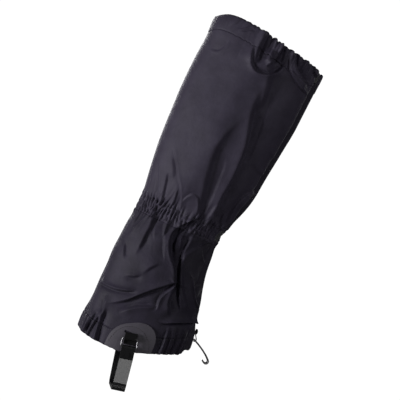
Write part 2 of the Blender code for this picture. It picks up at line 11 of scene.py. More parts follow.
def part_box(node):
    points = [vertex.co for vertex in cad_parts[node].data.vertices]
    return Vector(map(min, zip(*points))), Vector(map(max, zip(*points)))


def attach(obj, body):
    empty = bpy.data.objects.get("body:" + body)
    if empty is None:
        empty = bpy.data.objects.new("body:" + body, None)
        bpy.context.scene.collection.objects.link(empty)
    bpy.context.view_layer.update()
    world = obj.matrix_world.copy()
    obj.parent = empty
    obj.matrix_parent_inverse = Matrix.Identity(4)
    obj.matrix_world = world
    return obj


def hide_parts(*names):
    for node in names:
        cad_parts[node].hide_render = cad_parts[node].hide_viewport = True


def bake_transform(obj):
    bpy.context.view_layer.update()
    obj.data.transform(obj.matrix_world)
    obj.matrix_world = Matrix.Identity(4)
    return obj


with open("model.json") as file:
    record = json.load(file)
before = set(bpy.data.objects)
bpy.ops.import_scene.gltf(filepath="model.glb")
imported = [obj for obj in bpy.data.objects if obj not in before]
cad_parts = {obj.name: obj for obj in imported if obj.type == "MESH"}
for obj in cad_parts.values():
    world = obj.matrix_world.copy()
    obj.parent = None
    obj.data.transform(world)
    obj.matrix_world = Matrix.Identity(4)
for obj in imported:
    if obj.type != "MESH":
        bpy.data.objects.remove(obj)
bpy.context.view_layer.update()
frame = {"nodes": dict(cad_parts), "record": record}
mm = 0.001

# places read from the solids, in mm
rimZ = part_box("top_casing_right")[1].z / mm
patchLow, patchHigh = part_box("right_patch")
patchMiddle = (patchLow.x + patchHigh.x) / 2 / mm

# the sleeve's side view in mm: height, back, front, half width across the leg
sleeve = {
    "stations": (
        (-6, -67, 72, 41.5),
        (6, -70.5, 75, 43),
        (30, -71, 76, 43.5),
        (54, -70, 73, 43.5),
        (75, -70, 68, 43),
        (96, -70, 65, 42),
        (117, -71, 59, 40),
        (138, -70, 54.5, 38),
        (160, -68.5, 52, 36),
        (178, -65, 51, 34.3),
        (189, -64.5, 51.5, 34),
        (200, -65.5, 56, 35),
        (212, -67.5, 61, 37.5),
        (232, -71, 67, 40.5),
        (253, -73, 71, 43),
        (295, -76, 76, 46),
        (327, -77.5, 80, 46.5),
        (369, -77.5, 83.5, 46.5),
        (411, -75.5, 86, 45),
        (431, -75, 85, 43.5),
        (446, -74, 84, 42),
        (458, -69, 81, 40),
    ),
    "ankle": 188,
    "bandHalf": 9,        # half the ankle band's height
    "casing": 23,         # height of the top and bottom casings
    "casingDepth": 4.6,   # from a casing's outside to its inside
    "flapEdge": -25,      # degrees round from the toes, as are the next two
    "leftEdge": -6,
    "placketEnd": -86,
    "placketDepth": 4.6,  # how far the placket lies in under the flap
    "fabric": 0.7,
    "curl": 5.0,          # how far the flap's loose edge stands out
    "tuck": 2.2,          # how far the rest of that edge is pressed in
    # where the flap's free edge hangs loose under the ankle: height, x
    "looseEdge": ((58, 71), (74, 66.5), (89, 61), (103, 51), (115, 43.5), (128, 36), (135, 26), (144, 15.5),
                  (152, 17), (162, 26), (172, 35)),
}

# folds on the wearer's right side, drawn in mm of the side view from top to bottom: the cloth steps down
# to the left of the line by about twice "drop", over a run of "wide" to each side
rightFolds = (
    # the side stands out in a blunt ridge, with flatter cloth behind it
    {"at": ((-6, 440), (-9, 400), (-9, 350), (-13, 305), (-16, 270), (-17, 235), (-18, 205)),
     "wide": 16, "ridge": 5.0, "ends": (0.15, 0.1)},
    {"at": ((-18, 172), (-16, 140), (-10, 110), (-4, 84)), "wide": 14, "ridge": 3.0, "ends": (0.2, 0.3)},
    # long fold down the calf, with the softer ones beside it
    {"at": ((13, 392), (17, 356), (23, 331), (28, 310), (30, 285), (30, 262), (28, 238), (29, 214)),
     "wide": 8.5, "drop": 4.0, "ends": (0.3, 0.0)},
    {"at": ((18, 350), (26, 320), (29.5, 290), (30, 262), (28, 238), (29, 212)),
     "wide": 4.5, "drop": 1.1, "ends": (0.3, 0.0)},
    {"at": ((32, 384), (34, 363), (38, 335), (40, 311), (40, 285)),
     "wide": 2.6, "drop": -0.45, "ends": (0.3, 0.3)},
    {"at": ((10, 345), (0, 318), (-5, 290), (-2, 262), (3, 236), (9, 208)),
     "wide": 9, "drop": 2.2, "ends": (0.4, 0.0)},
    {"at": ((8, 292), (13, 272), (14, 255), (15, 236), (16, 208)),
     "wide": 4, "drop": -0.5, "ends": (0.3, 0.0)},
    {"at": ((-61, 277), (-46, 255), (-35, 238), (-24, 222), (-16, 200)),
     "wide": 2.0, "drop": -0.75, "ends": (0.35, 0.0)},
    {"at": ((-56, 262), (-44, 246), (-38, 228)), "wide": 5, "drop": 0.6, "ends": (0.4, 0.3)},
    {"at": ((-68, 250), (-56, 224), (-46, 202)), "wide": 2.0, "drop": -0.8, "ends": (0.3, 0.0)},
    {"at": ((-50, 240), (-46, 226), (-42, 206)), "wide": 3.6, "drop": 1.3, "ends": (0.4, 0.0)},
    {"at": ((-29, 226), (-27, 214), (-26, 203)), "wide": 2.4, "drop": 1.0, "ends": (0.4, 0.0)},
    {"at": ((-18, 208), (-15, 218), (-9, 225), (-1, 223), (5, 212), (7, 200)),
     "wide": 2.2, "drop": 0.9, "ends": (0.2, 0.2)},
    {"at": ((24, 228), (22, 215), (21, 201)), "wide": 2.5, "drop": -1.0, "ends": (0.4, 0.0)},
    {"at": ((42, 222), (41, 211), (44, 201)), "wide": 2.2, "drop": -1.1, "ends": (0.4, 0.0)},
    # the front bulges over the ankle
    {"at": ((70, 264), (60, 257), (54, 248), (50, 236), (48, 222), (49, 204)),
     "wide": 2.2, "drop": -1.3, "ends": (0.1, 0.1)},
    {"at": ((73, 258), (64, 247), (58, 232), (56, 208)), "wide": 5, "drop": 1.8, "ends": (0.1, 0.1)},
    {"at": ((56, 318), (66, 312), (77, 306)), "wide": 6, "drop": -0.5, "ends": (0.4, 0.1)},
    {"at": ((44, 296), (58, 286), (72, 284)), "wide": 5, "drop": -0.5, "ends": (0.4, 0.1)},
    {"at": ((6, 440), (18, 412), (24, 384), (26, 352)), "wide": 11, "drop": 3.4, "ends": (0.1, 0.3)},
    {"at": ((-24, 104), (-34, 96), (-47, 92)), "wide": 3.4, "drop": 1.4, "ends": (0.4, 0.4)},
    {"at": ((-8, 128), (-18, 116), (-26, 102)), "wide": 5.0, "drop": 1.2, "ends": (0.4, 0.4)},
    # a scooped hollow under the rim with its lip, and the flutes that run up from it
    {"at": ((-17, 438), (-15, 424), (-11, 412), (-3, 404), (8, 404), (19, 409), (27, 418), (30, 431)),
     "wide": 3.4, "drop": 2.6, "ends": (0.25, 0.2)},
    {"at": ((-9, 452), (-9, 435), (-8, 421), (-5, 411)), "wide": 5.0, "drop": 4.2, "ends": (0.0, 0.2)},
    {"at": ((6, 450), (7, 434), (3, 419)), "wide": 3.0, "drop": -2.2, "ends": (0.0, 0.2)},
    {"at": ((18, 451), (17, 436), (13, 422), (7, 413)), "wide": 2.8, "drop": 4.0, "ends": (0.0, 0.25)},
    {"at": ((23, 448), (25, 436), (25, 424)), "wide": 2.6, "drop": -1.2, "ends": (0.0, 0.4)},
    {"at": ((31, 452), (33, 436), (39, 424), (49, 415), (61, 409), (77, 403)),
     "wide": 2.1, "drop": -1.9, "ends": (0.05, 0.15)},
    {"at": ((37, 450), (41, 436), (49, 427), (60, 420), (73, 412)),
     "wide": 5.0, "drop": 4.2, "ends": (0.0, 0.2)},
    {"at": ((41, 452), (45, 440), (49, 430)), "wide": 1.7, "drop": -1.3, "ends": (0.0, 0.4)},
    {"at": ((66, 444), (72, 434), (80, 427)), "wide": 2.6, "drop": -1.8, "ends": (0.0, 0.3)},
    {"at": ((-26, 456), (-34, 450), (-46, 440)), "wide": 2.0, "drop": -0.9, "ends": (0.1, 0.4)},
    {"at": ((-24, 450), (-31, 446), (-40, 440)), "wide": 1.8, "drop": -0.9, "ends": (0.1, 0.4)},
    {"at": ((-44, 460), (-48, 450), (-55, 440)), "wide": 3.0, "drop": 0.6, "ends": (0.1, 0.4)},
    {"at": ((-48, 428), (-50, 416), (-56, 407), (-68, 405)), "wide": 3.2, "drop": -0.5, "ends": (0.3, 0.3)},
    # under the ankle: lobes either side of short deep folds
    {"at": ((-48, 184), (-53, 172), (-58, 158), (-60, 140)), "wide": 3.2, "drop": -0.9, "ends": (0.0, 0.4)},
    {"at": ((-43, 184), (-40, 169), (-41, 152), (-41, 138), (-43, 122)),
     "wide": 4.4, "drop": 2.0, "ends": (0.0, 0.35)},
    {"at": ((-57, 184), (-60, 168), (-63, 152)), "wide": 3.0, "drop": 1.0, "ends": (0.0, 0.4)},
    {"at": ((-62, 134), (-58, 122), (-54, 110)), "wide": 4.0, "drop": 1.2, "ends": (0.4, 0.4)},
    {"at": ((-35, 178), (-36, 163), (-28, 148)), "wide": 2.2, "drop": -0.8, "ends": (0.1, 0.5)},
    {"at": ((-27, 182), (-24, 169), (-19, 158), (-13, 143), (-5, 126)),
     "wide": 2.8, "drop": -1.0, "ends": (0.1, 0.4)},
    {"at": ((-20, 180), (-21, 166), (-19, 156)), "wide": 2.2, "drop": 1.4, "ends": (0.0, 0.4)},
    # main dark fold that runs down to the crease
    {"at": ((2, 190), (-6, 179), (-11, 167), (-9, 155), (-3, 142), (7, 131), (15, 118), (22, 106),
            (28, 93)),
     "wide": 4.0, "drop": 3.9, "ends": (0.0, 0.3)},
    {"at": ((3, 181), (-3, 168), (-3, 154), (4, 143)), "wide": 2.0, "drop": -1.3, "ends": (0.1, 0.2)},
    {"at": ((12, 178), (12, 164), (11, 150), (14, 136), (21, 117), (30, 95), (42, 76)),
     "wide": 3.0, "drop": -2.2, "ends": (0.1, 0.2)},
    {"at": ((2, 172), (5, 160), (9, 150)), "wide": 2.2, "drop": 1.6, "ends": (0.2, 0.3)},
    {"at": ((21, 128), (29, 112), (40, 96), (52, 82)), "wide": 4.5, "drop": 1.3, "ends": (0.3, 0.2)},
    # the long slanting crease and what meets it
    {"at": ((18, 112), (9, 103), (-4, 91), (-16, 79), (-28, 66), (-42, 55), (-56, 46)),
     "wide": 3.6, "drop": 3.0, "ends": (0.03, 0.45)},
    {"at": ((18, 110), (10, 94), (7, 82), (9, 72), (6, 64)),
     "wide": 2.4, "drop": -2.4, "ends": (0.05, 0.4)},
    {"at": ((20, 112), (20, 97), (22, 82), (32, 70)), "wide": 5.5, "drop": 3.6, "ends": (0.1, 0.3)},
    {"at": ((-22, 82), (-33, 76), (-49, 71), (-68, 70)), "wide": 2.8, "drop": 2.8, "ends": (0.3, 0.05)},
    {"at": ((10, 74), (-4, 69), (-20, 60), (-34, 46)), "wide": 4.0, "drop": -2.0, "ends": (0.3, 0.3)},
    {"at": ((-56, 62), (-54, 48), (-50, 34)), "wide": 3.6, "drop": -1.8, "ends": (0.4, 0.3)},
    {"at": ((-48, 46), (-49, 30), (-47, 14), (-44, 0)), "wide": 3.0, "drop": 2.9, "ends": (0.3, 0.0)},
    {"at": ((-58, 36), (-60, 20), (-62, 4)), "wide": 2.2, "drop": 2.3, "ends": (0.3, 0.0)},
    {"at": ((-52, 34), (-55, 18), (-56, 3)), "wide": 1.9, "drop": 2.1, "ends": (0.3, 0.0)},
    # the cloth hangs over the gathered front hem
    {"at": ((70, 76), (58, 71), (49, 67), (37, 62), (27, 57), (17, 56)),
     "wide": 2.4, "drop": 4.0, "ends": (0.0, 0.4)},
)

# folds of the layer that shows under the loose edge
underFolds = (
    {"at": ((36, 172), (40, 160), (50, 150), (60, 144)), "wide": 2.2, "drop": 1.2, "ends": (0.1, 0.2)},
    {"at": ((66, 126), (56, 116), (52, 102)), "wide": 4.5, "drop": -3.2, "ends": (0.2, 0.2)},
    {"at": ((66, 96), (60, 92), (54, 92)), "wide": 3.0, "drop": 1.6, "ends": (0.2, 0.2)},
)


def smoothStep(low, high, value):
    t = np.clip((value - low) / (high - low), 0, 1)
    return t * t * (3 - 2 * t)


# back contour, front contour and half width at a height, on a smooth curve through the stations
def stationsAt(z):
    rows = np.array(sleeve["stations"], float)
    heights = rows[:, 0]
    z = np.clip(z, heights[0], heights[-1])
    k = np.clip(np.searchsorted(heights, z, side="right") - 1, 0, len(rows) - 2)
    span = heights[k + 1] - heights[k]
    t = (z - heights[k]) / span
    before, after = np.maximum(k - 1, 0), np.minimum(k + 2, len(rows) - 1)
    values = []
    for c in (1, 2, 3):
        col = rows[:, c]
        slopeLow = (col[k + 1] - col[before]) / (heights[k + 1] - heights[before]) * span
        slopeHigh = (col[after] - col[k]) / (heights[after] - heights[k]) * span
        values.append(
            (2 * t**3 - 3 * t**2 + 1) * col[k]
            + (t**3 - 2 * t**2 + t) * slopeLow
            + (3 * t**2 - 2 * t**3) * col[k + 1]
            + (t**3 - t**2) * slopeHigh
        )
    return values


# centre and the two half axes of the oval at a height
def oval(z):
    back, front, halfWidth = stationsAt(z)
    return (front + back) / 2, (front - back) / 2, halfWidth


# folds with crisp valleys between them, unevenly spaced; made once, then looked up round the sleeve
def makePleats(seed, count, sharp=0.8, uneven=0.35):
    picks = np.random.default_rng(seed)
    valleys = (np.arange(count) + picks.uniform(-uneven, uneven, count)) / count
    heights = picks.uniform(0.45, 1.0, count)
    turn = np.linspace(0, 1, 8192, endpoint=False)
    k = np.searchsorted(valleys, turn, side="right") - 1
    start = valleys[k] - (k < 0)
    end = np.where(k + 1 < count, valleys[(k + 1) % count], valleys[0] + 1)
    end = np.where(k < 0, valleys[0], end)
    share = np.clip((turn - start) / (end - start), 0, 1)
    table = heights[k] * np.sin(math.pi * share) ** sharp
    table = table - table.mean()

    def pleats(angle):
        place = (angle / (2 * math.pi)) % 1 * len(table)
        low = np.floor(place).astype(int) % len(table)
        part = place - np.floor(place)
        return table[low] * (1 - part) + table[(low + 1) % len(table)] * part
    return pleats


bandRows = [makePleats(seed, count) for seed, count in ((51, 66), (52, 72), (53, 62))]
aboveFolds, belowFolds = makePleats(54, 27, 1.0), makePleats(55, 25, 1.0)
hemPleats, hemSmall = makePleats(56, 44, 0.9), makePleats(57, 90, 0.8)
rimPleats, rimSmall = makePleats(58, 34, 0.9), makePleats(59, 74, 0.8)


# a wandering value round the sleeve, the same at 0 and 360 degrees
def wander(seed, angle, low=1, high=6, fall=0.5):
    picks = np.random.default_rng(seed)
    total = np.zeros_like(angle, dtype=float)
    for k in range(low, high + 1):
        total = total + np.sin(k * angle + picks.uniform(0, 2 * math.pi)) * picks.uniform(0.5, 1) / k**fall
    return total


# the lower edge: it rises over the foot, with a little more at the toes and the heel
def hemZ(angle):
    rise = 30 * np.maximum(0, (np.cos(angle) + 0.2) / 1.2)
    ends = 7 * np.maximum(np.cos(angle), 0) ** 14 + 5 * np.maximum(-np.cos(angle), 0) ** 10
    return rise + ends + 0.6 * hemPleats(angle)


# the upper edge: highest at the rear side, lower at the front, uneven where it is gathered
def rimLine(angle):
    drop = 18 * np.maximum(0, (np.cos(angle) + 0.35) / 1.35) + 4 * np.maximum(np.cos(angle), 0) ** 12
    rear = 9 * np.maximum(-np.cos(angle), 0) ** 14
    gathered = smoothStep(-0.75, -0.3, np.cos(angle))
    return rimZ - drop - rear - gathered * (1.6 - 2.6 * rimPleats(angle) - 1.6 * rimSmall(angle))


# points between the given ones, so that a line bends smoothly
def smoothed(points, steps=4):
    points = [np.array(p, float) for p in points]
    made = []
    for k in range(len(points) - 1):
        a, b = points[max(k - 1, 0)], points[k]
        c, d = points[k + 1], points[min(k + 2, len(points) - 1)]
        for s in range(steps):
            t = s / steps
            square, cube = 2 * a - 5 * b + 4 * c - d, 3 * b - a - 3 * c + d
            made.append(0.5 * (2 * b + (c - a) * t + square * t**2 + cube * t**3))
    made.append(points[-1])
    return np.array(made)


# distance to the line (more than 0 on its left) and the share of its length at the nearest point
def alongLine(points, x, z):
    best = np.full(x.shape, 1e9)
    side, along = np.ones(x.shape), np.zeros(x.shape)
    lengths = np.linalg.norm(np.diff(points, axis=0), axis=1)
    total, gone = lengths.sum(), 0.0
    for k, length in enumerate(lengths):
        start, step = points[k], (points[k + 1] - points[k]) / length
        t = np.clip((x - start[0]) * step[0] + (z - start[1]) * step[1], 0, length)
        dx, dz = x - start[0] - step[0] * t, z - start[1] - step[1] * t
        distance = np.hypot(dx, dz)
        nearer = distance < best
        best = np.where(nearer, distance, best)
        side = np.where(nearer, np.where(dz * step[0] - dx * step[1] > 0, 1.0, -1.0), side)
        along = np.where(nearer, (gone + t) / total, along)
        gone += length
    return best * side, along


def endFade(along, ends):
    first, last = ends
    fade = np.ones_like(along)
    if first > 0:
        fade = fade * smoothStep(0, first, along)
    if last > 0:
        fade = fade * smoothStep(0, last, 1 - along)
    return fade


def foldRelief(folds, x, z, turn=1.0):
    relief = np.zeros(x.shape)
    for fold in folds:
        line = smoothed(fold["at"])
        reach = 4 * fold["wide"]
        near = (
            (x > line[:, 0].min() - reach) & (x < line[:, 0].max() + reach)
            & (z > line[:, 1].min() - reach) & (z < line[:, 1].max() + reach)
        )
        if not near.any():
            continue
        signed, along = alongLine(line, x[near], z[near])
        r = signed / fold["wide"]
        # steep at the line, with a crest beside it
        step = 2.3 * np.tanh(2.2 * r) * np.exp(-0.9 * np.abs(r))
        profile = fold.get("ridge", 0) * np.exp(-0.5 * r * r) - turn * fold.get("drop", 0) * step
        relief[near] += profile * endFade(along, fold["ends"])
    return relief


patch = {"halfWidth": 31, "height": 47, "margin": 0.16}


# the share of a patch's arch that a point lies in: 1 on it, 0 well outside
def patchShare(x, z):
    r = np.hypot((x - patchMiddle) / patch["halfWidth"], np.maximum(z, 0) / patch["height"])
    return 1 - smoothStep(1.0, 1 + patch["margin"], r)


# the ankle band: how deep its gathers are, those that run on beyond it, and its three stitched rows, in mm
gather = {"deep": 5.2, "runOn": 5.5, "coarse": 2.6, "wide": 0.9, "rows": ((-9, 1.0), (-0.5, 0.7), (9, 1.0))}


def gatherRelief(angle, x, z):
    ankle, half = sleeve["ankle"], sleeve["bandHalf"]
    up = z - ankle + 1.2 * wander(4, angle, 3, 14, 0.3)
    off = np.maximum(np.abs(up) - half, 0)
    slant = 0.0016 * up * wander(3, angle, 2, 9, 0.2)
    low, middle, high = [row(angle + slant) for row in bandRows]
    toHigh, toLow = smoothStep(1, 8, up), smoothStep(-1, -8, up)
    fine = middle * (1 - toHigh - toLow) + high * toHigh + low * toLow
    relief = gather["deep"] * fine * np.exp(-((off / gather["runOn"]) ** 1.4))
    for line, deep in gather["rows"]:
        relief = relief - deep * np.exp(-(((up - line) / 1.2) ** 2))
    # away from the band these merge into coarser folds
    above = up > 0
    coarse = np.where(above, aboveFolds(angle + 1.6 * slant), belowFolds(angle + 1.6 * slant))
    run = np.where(above, 12, 10)
    relief = relief + gather["coarse"] * coarse * np.exp(-off / run) * smoothStep(0, 5, off)
    wide = np.sin(9 * angle + 1.2 * wander(10, angle, 2, 7, 0.4))
    runWide = np.where(above, 26, 22)
    return relief + gather["wide"] * wide * np.exp(-((off / runWide) ** 1.4)) * smoothStep(2, 14, off)


# the hem's gathers in mm: everywhere, more at the front, more at the back
hem = {"large": (0.5, 5.0, 2.6), "small": (0.2, 1.8, 0.4), "seam": 0.5}


def hemRelief(angle, x, z):
    up = z - hemZ(angle)
    front, back = smoothStep(18, 36, x), smoothStep(-40, -56, x)
    tall = 22 + 9 * front + 8 * back
    lean = angle + 0.0012 * up * wander(13, angle, 2, 9, 0.3)
    fade = np.exp(-((np.maximum(up, 0) / tall) ** 5))
    large = hem["large"][0] + hem["large"][1] * front + hem["large"][2] * back
    small = hem["small"][0] + hem["small"][1] * front + hem["small"][2] * back
    relief = fade * large * hemPleats(lean) + fade * small * hemSmall(lean)
    return relief - hem["seam"] * np.exp(-(((up - sleeve["casing"]) / 1.1) ** 2))


# the rim's ruffle in mm, which fades down over the casing; only the front part is gathered
rim = {"large": 4.2, "small": 2.0, "reach": 15, "wide": 0.8, "wideReach": 38, "seam": 0.25}


def rimRelief(angle, x, z):
    down = rimLine(angle) - z
    gathered = smoothStep(-30, -8, x)
    below = np.maximum(down, 0)
    ruffle = rim["large"] * rimPleats(angle) + rim["small"] * rimSmall(angle)
    relief = ruffle * np.exp(-((below / rim["reach"]) ** 2.5)) * (0.1 + 0.9 * gathered)
    wide = np.sin(7 * angle + wander(17, angle, 2, 5, 0.4))
    wide = wide * np.exp(-((below / rim["wideReach"]) ** 2)) * (0.3 + 0.7 * gathered)
    relief = relief + rim["wide"] * wide
    return relief - rim["seam"] * np.exp(-(((down - sleeve["casing"]) / 1.0) ** 2)) * (1 - 0.7 * gathered)


# slow unevenness of cloth that has been handled
def softWaves(angle, z):
    total = np.zeros_like(z, dtype=float)
    picks = np.random.default_rng(23)
    for k in range(14):
        turns, length = picks.integers(1, 7), picks.uniform(45, 160)
        phase = picks.uniform(0, 2 * math.pi)
        total = total + np.sin(turns * angle + 2 * math.pi * z / length + phase) * picks.uniform(0.3, 1)
    return total


def looseEdgeX(z):
    rows = smoothed(sleeve["looseEdge"], 6)
    return np.interp(z, rows[:, 0], rows[:, 1])


# the flap's free edge as an angle: near the toes, and drawn back where it hangs loose
def freeEdge(z):
    centre, halfLong, _ = oval(z)
    plain = math.radians(sleeve["flapEdge"])
    loose = -np.arccos(np.clip((looseEdgeX(z) - centre) / halfLong, -0.99, 0.99))
    share = smoothStep(54, 60, z) * (1 - smoothStep(170, 180, z))
    return plain * (1 - share) + np.minimum(loose, plain) * share


# how far the cloth stands out from the plain oval at an angle and height
def relief(angle, z):
    centre, halfLong, _ = oval(z)
    x = centre + halfLong * np.cos(angle)
    right = smoothStep(0.02, 0.3, -np.sin(angle))
    left = smoothStep(0.02, 0.42, np.sin(angle))
    total = gatherRelief(angle, x, z) + hemRelief(angle, x, z) + rimRelief(angle, x, z)
    calm = smoothStep(0, 22, np.abs(z - sleeve["ankle"]) - sleeve["bandHalf"])
    total = total + 0.2 * softWaves(angle, z) * calm
    total = total + right * foldRelief(rightFolds, x, z)
    # the left side has folds of the same family, turned round and shifted
    total = total + left * 0.8 * foldRelief(rightFolds, 8 - x, z - 6 * np.sin(x / 31), -1.0)
    flat = np.maximum(right, left) * patchShare(x, z)
    return total * (1 - flat) + 0.2 * flat


# the flap's loose edge curls outward under the ankle, and elsewhere it is tucked down on the placket
def flapRelief(angle, z):
    _, halfLong, _ = oval(z)
    gap = np.maximum(freeEdge(z) - angle, 0) * halfLong
    loose = smoothStep(56, 74, z) * (1 - smoothStep(140, 172, z))
    curl = sleeve["curl"] * loose * np.exp(-((gap / 3.6) ** 1.6))
    tucked = 1 - smoothStep(50, 62, z) * (1 - smoothStep(160, 178, z))
    return relief(angle, z) + curl - sleeve["tuck"] * tucked * np.exp(-((gap / 3.0) ** 2))


# the layer under the flap follows it, and has its own folds where the flap leaves it bare
def placketRelief(angle, z):
    bare = smoothStep(math.radians(-1), math.radians(9), angle - freeEdge(z)) * smoothStep(60, 72, z)
    bare = bare * (1 - smoothStep(160, 176, z)) * smoothStep(math.radians(-7), math.radians(-22), angle)
    centre, halfLong, _ = oval(z)
    x = centre + halfLong * np.cos(angle)
    own = gatherRelief(angle, x, z) * 0.8 + 0.2 * softWaves(angle + 1, z) + foldRelief(underFolds, x, z)
    return relief(angle, z) * (1 - bare) + (own - 1.2) * bare


def sleevePoints(angle, z, outset, form=relief):
    centre, halfLong, halfWide = oval(z)
    nx, ny = np.cos(angle) / halfLong, np.sin(angle) / halfWide
    size = np.hypot(nx, ny)
    push = outset + form(angle, z)
    x = centre + halfLong * np.cos(angle) + nx / size * push
    y = halfWide * np.sin(angle) + ny / size * push
    return np.stack([x, y, z], axis=-1) * mm


def meshFromGrid(name, points, uv, material, thick, inward):
    rows, columns = points.shape[:2]
    index = np.arange(rows * columns).reshape(rows, columns)
    corners = [index[:-1, :-1], index[:-1, 1:], index[1:, 1:], index[1:, :-1]]
    faces = np.stack(corners, axis=-1).reshape(-1, 4)
    mesh = bpy.data.meshes.new(name)
    mesh.from_pydata(points.reshape(-1, 3).tolist(), [], faces.tolist())
    layer = mesh.uv_layers.new(name="UVMap")
    corner = np.zeros(len(mesh.loops), dtype=np.int32)
    mesh.loops.foreach_get("vertex_index", corner)
    layer.data.foreach_set("uv", uv.reshape(-1, 2)[corner].astype(np.float32).ravel())
    mesh.shade_smooth()
    piece = bpy.data.objects.new(name, mesh)
    mesh.materials.append(material)
    bpy.context.scene.collection.objects.link(piece)
    shell = piece.modifiers.new("cloth", "SOLIDIFY")
    shell.thickness = thick * mm
    shell.offset = -1 if inward else 1
    return piece


# a strip of the sleeve between two lines, which give an angle for each height; the path gives the rows
def sleevePiece(name, start, end, path, material, thick=sleeve["fabric"], spacing=0.8, form=relief):
    middle = 250.0  # the height at which columns are counted, one for each "spacing" degrees
    count = max(3, int(round(abs(math.degrees(end(middle) - start(middle))) / spacing)))
    share = np.linspace(0, 1, count + 1)
    rough = start(middle) + (end(middle) - start(middle)) * share
    outsets, heights = path(rough)
    angles = start(heights) + (end(heights) - start(heights)) * share[None, :]
    outsets, heights = path(angles)
    grid = sleevePoints(angles, heights, outsets, form)
    arc = np.zeros(heights.shape)
    arc[:, 1:] = np.cumsum(np.linalg.norm(np.diff(grid, axis=1), axis=2).mean(axis=0))[None, :]
    run = np.zeros(heights.shape)
    run[1:] = np.cumsum(np.hypot(np.diff(heights, axis=0), np.diff(outsets, axis=0)), axis=0) * mm
    uv = np.stack([arc, run], axis=-1)
    across = grid[0, 1] - grid[0, 0]
    upward = grid[1, 0] - grid[0, 0]
    outward = np.array([math.cos(angles[0, 0]), math.sin(angles[0, 0]), 0])
    inward = np.dot(np.cross(across, upward), outward) > 0
    return meshFromGrid(name, grid, uv, material, thick, inward)


# a line straight up the sleeve, so many degrees round from the toes
def at(degreesRound):
    return lambda z: np.full(np.shape(z), math.radians(degreesRound))


# heights between two lines; each line is a function of the angle
def plainPath(low, high, spacing, outset=0.0):
    side = np.array([-math.pi / 2])
    count = max(2, int(round(float(high(side)[0] - low(side)[0]) / spacing)))
    t = np.linspace(0, 1, count + 1)[:, None]

    def path(angles):
        heights = low(angles) * (1 - t) + high(angles) * t
        if callable(outset):
            return outset(angles, heights), heights
        return np.full(heights.shape, float(outset)), heights
    return path


# down the outside, round the fold at the edge, and back up the inside
def foldedPath(edge, direction, tall, spacing, depth=sleeve["casingDepth"]):
    count, radius = int(round(tall / spacing)), depth / 2
    outs = [0.0] * count + [radius * math.cos(math.pi * k / 8) - radius for k in range(9)] + [-depth] * 8
    ups = [tall - (tall - radius) * k / count for k in range(count)]
    ups += [radius - radius * math.sin(math.pi * k / 8) for k in range(9)]
    ups += [radius + (tall - radius - 2) * k / 8 for k in range(1, 9)]
    outs, ups = np.array(outs)[:, None], np.array(ups)[:, None]
    if direction > 0:
        outs, ups = outs[::-1], ups[::-1]

    def path(angles):
        heights = edge(angles) - direction * ups
        return np.broadcast_to(outs, heights.shape).copy(), heights
    return path


def hexColour(code):
    parts = [int(code[k:k + 2], 16) / 255 for k in (1, 3, 5)]
    return [c / 12.92 if c <= 0.04045 else ((c + 0.055) / 1.055) ** 2.4 for c in parts] + [1.0]


# one node with its settings and links; a link is an output socket
def addNode(tree, kind, settings=None, links=None):
    node = tree.nodes.new(kind)
    for key, value in (settings or {}).items():
        if key.startswith("in:"):
            name = key[3:]
            node.inputs[int(name) if name.isdigit() else name].default_value = value
        else:
            setattr(node, key, value)
    for name, source in (links or {}).items():
        tree.links.new(source, node.inputs[int(name) if str(name).isdigit() else name])
    return node


# an empty material; space names the coordinates whose metres are turned to mm for its patterns
def startMaterial(name, space=None):
    made = bpy.data.materials.new(name)
    made.use_nodes = True
    tree = made.node_tree
    tree.nodes.clear()
    out = addNode(tree, "ShaderNodeOutputMaterial")
    spot = None
    if space:
        place = addNode(tree, "ShaderNodeTexCoord")
        scaled = addNode(tree, "ShaderNodeMapping", {}, {"Vector": place.outputs[space]})
        scaled.inputs["Scale"].default_value = (1 / mm, 1 / mm, 1 / mm)
        spot = {"Vector": scaled.outputs[0]}
    return made, tree, out, spot


# a mix of two hex colours by a value
def addColour(tree, dark, light, factor):
    colour = addNode(tree, "ShaderNodeMix", {"data_type": "RGBA"}, {"Factor": factor})
    colour.inputs[6].default_value = hexColour(dark)
    colour.inputs[7].default_value = hexColour(light)
    return colour.outputs[2]


# the scale that gives a wave texture this many mm from crest to crest
def waveScale(crestMm):
    return 2 * math.pi / crestMm / 20


